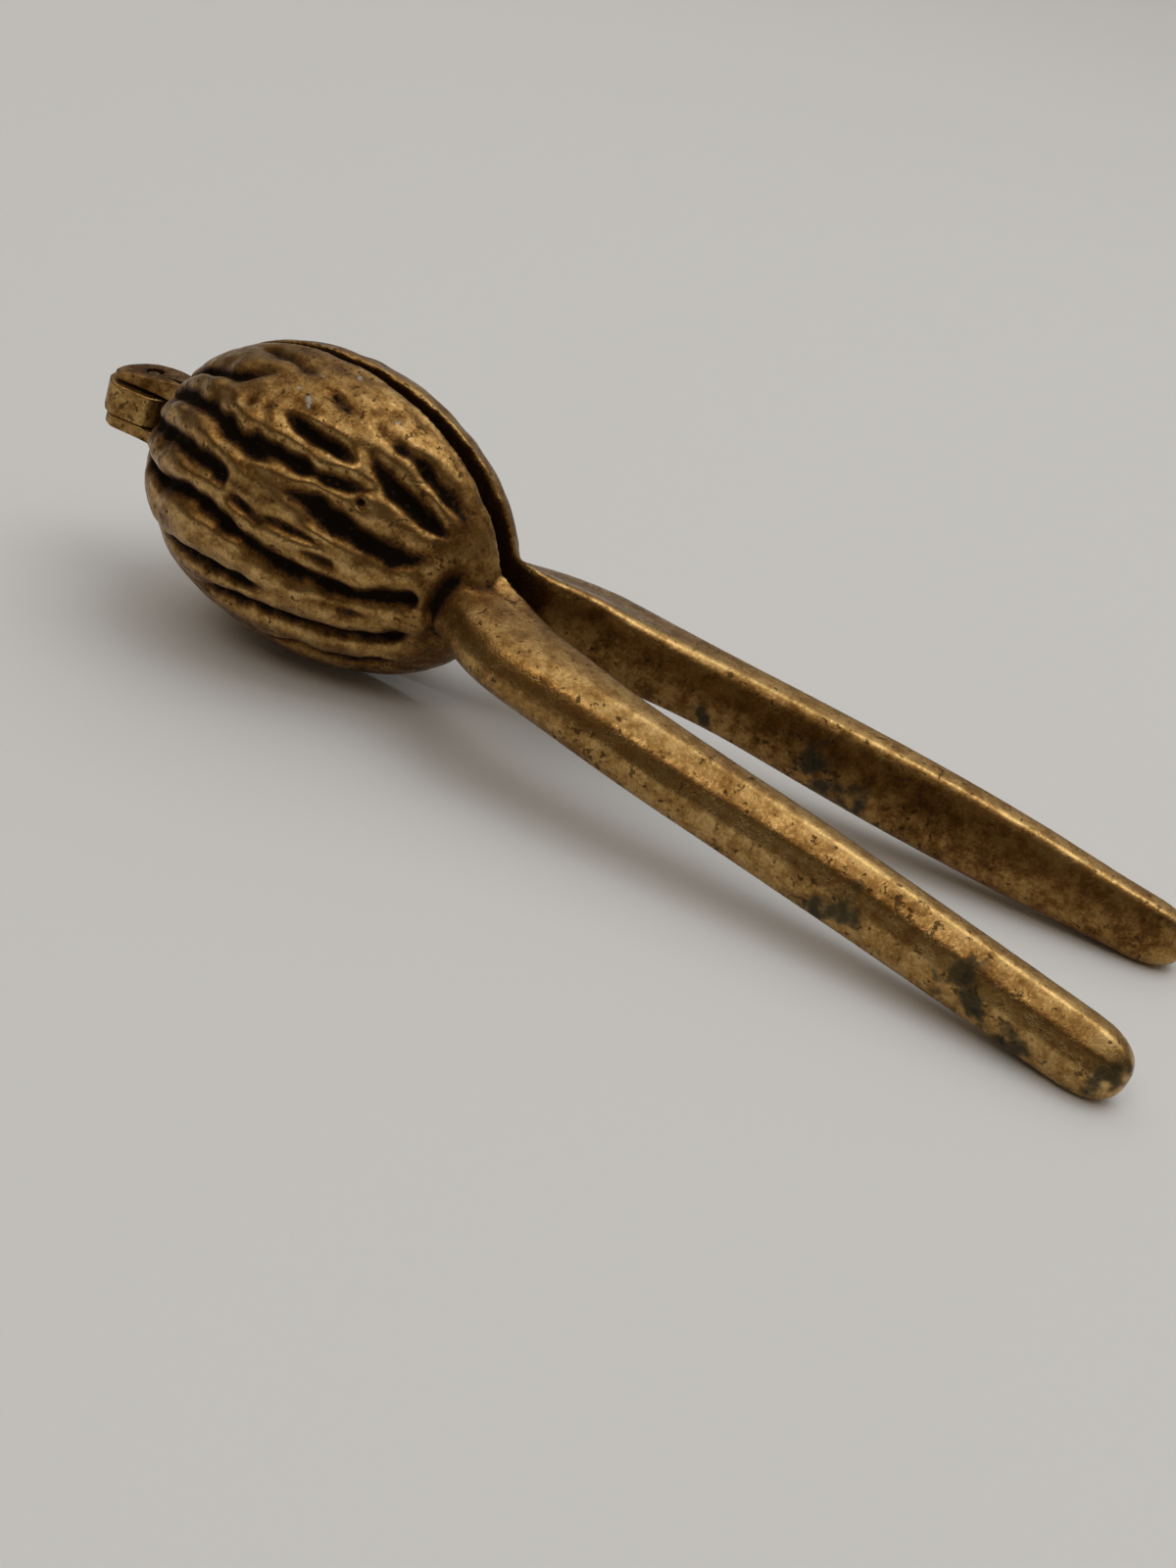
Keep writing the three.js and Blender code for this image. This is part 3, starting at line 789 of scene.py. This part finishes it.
def stepped(tree, value, low, high, to_low=0.0, to_high=1.0):
    """Smooth step of a value from low..high to to_low..to_high."""
    node = tree.nodes.new("ShaderNodeMapRange")
    node.interpolation_type = "SMOOTHSTEP"
    link(tree, value, node.inputs["Value"])
    for socket, number in (("From Min", low), ("From Max", high), ("To Min", to_low), ("To Max", to_high)):
        node.inputs[socket].default_value = number
    return node.outputs["Result"]


def weighed(tree, start, *parts):
    """A start value plus share times (value less its middle) for each part."""
    total = start
    for value, share, middle in parts:
        part = sums(tree, "MULTIPLY", sums(tree, "SUBTRACT", value, middle), share)
        total = sums(tree, "ADD", part, total)
    return total


def mixed(tree, factor, first, second):
    """Blend of two colours."""
    node = tree.nodes.new("ShaderNodeMix")
    node.data_type = "RGBA"
    link(tree, factor, node.inputs["Factor"])
    link(tree, first, node.inputs["A"])
    link(tree, second, node.inputs["B"])
    return node.outputs["Result"]


def toned(tree, value, stops):
    """Colour from a value through a row of colours, the first at 0 and the last at 1."""
    node = tree.nodes.new("ShaderNodeValToRGB")
    ramp = node.color_ramp
    ramp.elements[0].color = stops[0][1]
    ramp.elements[1].color = stops[-1][1]
    for place, colour in stops[1:-1]:
        ramp.elements.new(place).color = colour
    link(tree, value, node.inputs["Fac"])
    return node.outputs["Color"]


# %% Noise, stored marks and empty finishes
def grain(tree, size_mm, detail, roughness):
    """Noise on Object coordinates with features about size_mm across."""
    place = tree.nodes.new("ShaderNodeTexCoord")
    node = tree.nodes.new("ShaderNodeTexNoise")
    node.inputs["Scale"].default_value = 1 / (size_mm * MM)
    node.inputs["Detail"].default_value = detail
    node.inputs["Roughness"].default_value = roughness
    tree.links.new(place.outputs["Object"], node.inputs["Vector"])
    return node.outputs["Fac"]


def stored(tree, name):
    """A stored attribute as a number."""
    node = tree.nodes.new("ShaderNodeAttribute")
    node.attribute_name = name
    return node.outputs["Fac"]


def new_finish(name):
    """An empty node material with its Principled shader."""
    finish = bpy.data.materials.new(name)
    finish.use_nodes = True
    return finish, finish.node_tree, finish.node_tree.nodes["Principled BSDF"]


# %% [markdown]
# The bronze's layers have names. A grain is its size in millimetres, its detail and its roughness. Colour,
# dullness and relief are each a start value plus shares of the layers, and a share is a weight and the
# middle that is taken off the layer first.

# %% Colours and shares of the worn bronze
PATINA = [(0.00, (0.54, 0.35, 0.135, 1)), (0.25, (0.34, 0.195, 0.062, 1)), (0.50, (0.18, 0.088, 0.023, 1)),
          (0.72, (0.078, 0.032, 0.008, 1)), (0.88, (0.026, 0.013, 0.005, 1)),
          (1.00, (0.010, 0.006, 0.003, 1))]
SPECK_BROWN, SPECK_COVER = (0.05, 0.026, 0.010, 1), 0.75
GREEN_BLACK, STAIN_COVER, STAIN_DIRT = (0.020, 0.021, 0.010, 1), 0.85, 0.6
SCUFF_GREY, SCUFF_COVER = (0.42, 0.40, 0.36, 1), 0.8
GRAINS = {"cloud": (13, 3, 0.55), "patch": (2.4, 6, 0.68), "fine": (0.45, 4, 0.65), "pores": (1.0, 3, 0.55)}
SPECK_SHARES, SPECK_STEP = {"pores": (1, 0), "cloud": (0.25, 0.5)}, (0.61, 0.68)
STAIN_SHARES, STAIN_STEP = {"stain": (1, 0), "patch": (1, 0.5)}, (0.1, 0.8)
SCUFF_SHARES, SCUFF_STEP = {"scuff": (1, 0), "fine": (2.5, 0.5)}, (0.55, 0.85)
BLOTCH_STEP, DIRT_STEP = (0.38, 0.64, -0.5, 0.5), (0.65, 0.95)
AGE_START, DULL_START, RELIEF_START = 0.33, 0.21, 0.5
AGE_SHARES = {"cloud": (0.4, 0.5), "blotch": (0.3, 0), "fine": (0.6, 0.5), "wear": (-0.4, 0.5),
              "grime_and_shade": (0.66, 0)}
DULL_SHARES = {"age": (0.36, 0), "fine": (0.22, 0.5), "speck": (0.15, 0), "grime_and_shade": (0.2, 0)}
RELIEF_SHARES = {"patch": (0.7, 0.5), "fine": (0.45, 0.5), "speck": (-0.35, 0)}
RELIEF_STRENGTH, RELIEF_DEPTH = 0.55, 0.2 * MM
METAL_TO_DIRT, SHINE_TO_DIRT = (1.0, 0.1), (0.5, 0.03)


# %% Worn bronze
def worn_bronze():
    """One scale from rubbed gold through brown to black: noise, dirt and painted shade push a point down it,
    wear pulls it up. Specks, stains and scuffs lie on top."""
    finish, tree, shader = new_finish("worn_bronze")
    layers = {name: grain(tree, *kind) for name, kind in GRAINS.items()}
    layers |= {name: stored(tree, name) for name in ("grime_and_shade", "wear", "stain", "scuff")}

    def shared(start, shares):
        """A start value plus the shares of the named layers."""
        return weighed(tree, start, *((layers[name], *share) for name, share in shares.items()))

    layers["blotch"] = stepped(tree, layers["patch"], *BLOTCH_STEP)
    layers["speck"] = stepped(tree, shared(0.0, SPECK_SHARES), *SPECK_STEP)
    layers["age"] = shared(AGE_START, AGE_SHARES)
    stain = stepped(tree, shared(0.0, STAIN_SHARES), *STAIN_STEP)
    scuff = stepped(tree, shared(0.0, SCUFF_SHARES), *SCUFF_STEP)
    colour = toned(tree, layers["age"], PATINA)
    for mark, cover, tint in ((layers["speck"], SPECK_COVER, SPECK_BROWN), (stain, STAIN_COVER, GREEN_BLACK),
                              (scuff, SCUFF_COVER, SCUFF_GREY)):
        colour = mixed(tree, sums(tree, "MULTIPLY", mark, cover), colour, tint)
    tree.links.new(colour, shader.inputs["Base Color"])
    # the dark end of the scale holds real dirt and the painted shade stored with it, and lowers Metallic and
    # shine
    old_dirt_and_shade = stepped(tree, layers["age"], *DIRT_STEP)
    dirt_and_shade = sums(tree, "MAXIMUM", old_dirt_and_shade, sums(tree, "MULTIPLY", stain, STAIN_DIRT))
    covered = sums(tree, "MAXIMUM", dirt_and_shade, sums(tree, "MULTIPLY", scuff, SCUFF_COVER))
    tree.links.new(stepped(tree, covered, 0, 1, *METAL_TO_DIRT), shader.inputs["Metallic"])
    tree.links.new(stepped(tree, dirt_and_shade, 0, 1, *SHINE_TO_DIRT), shader.inputs["Specular IOR Level"])
    tree.links.new(shared(DULL_START, DULL_SHARES), shader.inputs["Roughness"])
    bump = tree.nodes.new("ShaderNodeBump")
    bump.inputs["Strength"].default_value = RELIEF_STRENGTH
    bump.inputs["Distance"].default_value = RELIEF_DEPTH
    tree.links.new(shared(RELIEF_START, RELIEF_SHARES), bump.inputs["Height"])
    tree.links.new(bump.outputs["Normal"], shader.inputs["Normal"])
    return finish


# %% Dark pin: tarnish and painted shade
# painted shade: the pin's browns are partly its tarnish and partly the shade inside the bore
PIN_BROWN, PIN_DARK = (0.16, 0.11, 0.06, 1), (0.06, 0.04, 0.02, 1)
PIN_GRAIN, TARNISH_STEP = (0.6, 4, 0.55), (0.35, 0.65)
PIN_DULL, PIN_METAL = (0.4, 0.65), 0.8


def dark_pin():
    """Cut rod with a brown tarnish, duller where it is darker; both browns are kept dark as painted shade, so
    that the bore it sits in reads as shaded.
    """
    finish, tree, shader = new_finish("dark_pin")
    tarnish = stepped(tree, grain(tree, *PIN_GRAIN), *TARNISH_STEP)
    tree.links.new(mixed(tree, tarnish, PIN_BROWN, PIN_DARK), shader.inputs["Base Color"])
    tree.links.new(stepped(tree, tarnish, 0, 1, *PIN_DULL), shader.inputs["Roughness"])
    shader.inputs["Metallic"].default_value = PIN_METAL
    return finish


bronze = worn_bronze()
for casting in (front_jaw, rear_jaw):
    casting.data.materials.clear()
    casting.data.materials.append(bronze)
cross_pin.data.materials.append(dark_pin())
print("finishes", [finish.name for finish in bpy.data.materials])

# %% [markdown]
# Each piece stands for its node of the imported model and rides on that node's body.

# %% Bodies, slots and nodes
for piece, node, body, slot in ((front_jaw, "fork_jaw", "fork_half", "worn_bronze"),
                                (rear_jaw, "tongue_jaw", "tongue_half", "worn_bronze"),
                                (cross_pin, "hinge_pin", "fork_half", "dark_pin")):
    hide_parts(node)
    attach(piece, body)
    print(piece.name, "stands for", node, "and rides on", body)

# %% [markdown]
# The object lies on a pale sweep: a round floor that curves up into a wall, so that every side has a plain
# ground. The light is a soft dome, bright overhead and dim at the horizon, with a small bright card high in
# front and one large lamp from the upper right and behind. Metal looks like what it reflects, so the dim
# horizon draws the dark bands on the handles, and the card draws the bright line along the bevel.

# %% Floor
PAPER, PAPER_DULL = (0.79, 0.80, 0.80, 1), 0.9
FLAT, BEND, WALL_TOP, BEND_ROWS = 4.8, 0.8, 1.2, 24
FLOOR_MIDDLE = (0.0, -3.2, 0.0)


def sweep():
    """Floor and backdrop, in metres: a profile that is flat and turns up in a quarter circle at its edge,
    carried once around a middle in front of the object, so that the wall stands near behind it and far off
    in front."""
    turn = np.linspace(0, np.pi / 2, BEND_ROWS)
    radius = np.r_[0, FLAT - BEND, FLAT + BEND * np.sin(turn), FLAT + BEND]
    height = np.r_[0, 0, BEND * (1 - np.cos(turn)), WALL_TOP]
    grid = turned_grid(np.c_[radius, height]) + FLOOR_MIDDLE
    mesh = bpy.data.meshes.new("pale_sweep")
    mesh.from_pydata(grid.reshape(-1, 3).tolist(), [], grid_faces(*grid.shape[:2])[:, ::-1].tolist())
    mesh.shade_smooth()
    finish, _, shader = new_finish("pale_paper")
    shader.inputs["Base Color"].default_value = PAPER
    shader.inputs["Roughness"].default_value = PAPER_DULL
    mesh.materials.append(finish)
    new_object("pale_sweep", mesh)


sweep()
print("floor", 2 * FLAT, "m across")

# %% Light
SKY_LEAN, SKY_STEP, SKY_STRENGTH = 0.20, (0.48, 0.86), (0.05, 0.84)
HORIZON_TONE, OVERHEAD_TONE = (1, 0.75, 0.50, 1), (1, 0.995, 0.98, 1)
CARD_WAY, CARD_STEP, CARD_STRENGTH = (-0.24, -0.57, 0.785), (0.968, 0.993), 2.1
LAMP_AT, LAMP_AIM, LAMP_SIZE, LAMP_WATTS = (0.28, 0.22, 1.10), (0.0, 0.0, 0.0), 0.7, 1.8


def soft_dome():
    """World light by direction: dim and warm at the horizon, bright overhead, reaching lower at the back than
    in front, and one bright card high in front, where the handle's bevel looks."""
    world = bpy.data.worlds.new("soft_dome")
    world.use_nodes = True
    tree = world.node_tree
    way = tree.nodes.new("ShaderNodeTexCoord")
    parts = tree.nodes.new("ShaderNodeSeparateXYZ")
    tree.links.new(way.outputs["Generated"], parts.inputs["Vector"])
    x, y, z = (parts.outputs[axis] for axis in "XYZ")
    above = weighed(tree, z, (y, SKY_LEAN, 0))
    background = tree.nodes["Background"]
    tone = mixed(tree, stepped(tree, above, *SKY_STEP), HORIZON_TONE, OVERHEAD_TONE)
    tree.links.new(tone, background.inputs["Color"])
    facing = weighed(tree, 0.0, *((axis, share, 0) for axis, share in zip((x, y, z), CARD_WAY)))
    sky = stepped(tree, above, *SKY_STEP, *SKY_STRENGTH)
    card = stepped(tree, facing, *CARD_STEP)
    tree.links.new(weighed(tree, sky, (card, CARD_STRENGTH, 0)), background.inputs["Strength"])
    bpy.context.scene.world = world


def soft_lamp(name, place, aim, size, watts):
    """Square lamp at a place in metres, turned to face a point."""
    lamp = bpy.data.lights.new(name, "AREA")
    lamp.size = size
    lamp.energy = watts
    back = np.array(place) - aim
    back /= np.linalg.norm(back)
    right = np.cross([0, 0, 1], back)
    right /= np.linalg.norm(right)
    turn = np.stack([right, np.cross(back, right), back], axis=1)
    new_object(name, lamp).matrix_world = Matrix.LocRotScale(place, Matrix(turn.tolist()), None)


soft_dome()
soft_lamp("soft_box", LAMP_AT, LAMP_AIM, LAMP_SIZE, LAMP_WATTS)
bpy.context.scene.view_settings.view_transform = "Standard"
print("lamp at", LAMP_AT, "m,", LAMP_WATTS, "W")

# %% [markdown]
# The camera stands where the photograph's did: in front of the tips, looking down and back, and tilted, so
# that the handles run to the lower right corner.

# %% Camera
EYE = np.array([76.65, -198.15, 123.7]) * MM
HEADING, PITCH, TILT = np.radians([20.51, 30.69, 14.49])
LENS, SENSOR, NEAREST = 42.85, 36.0, 0.01


def photo_camera():
    """Camera from heading, pitch and tilt: the columns of its matrix are right, up and backwards."""
    ahead = np.array([-np.sin(HEADING) * np.cos(PITCH), np.cos(HEADING) * np.cos(PITCH), -np.sin(PITCH)])
    level = np.array([np.cos(HEADING), np.sin(HEADING), 0])
    above = np.cross(level, ahead)
    right = np.cos(TILT) * level + np.sin(TILT) * above
    up = np.cos(TILT) * above - np.sin(TILT) * level
    lens = bpy.data.cameras.new("photo_camera")
    lens.lens = LENS
    lens.sensor_width = SENSOR
    lens.clip_start = NEAREST
    camera = new_object("photo_camera", lens)
    turn = Matrix(np.stack([right, up, -ahead], axis=1).tolist())
    camera.matrix_world = Matrix.LocRotScale(EYE, turn, None)
    bpy.context.scene.camera = camera


photo_camera()
print("camera at", EYE.round(4), "m")
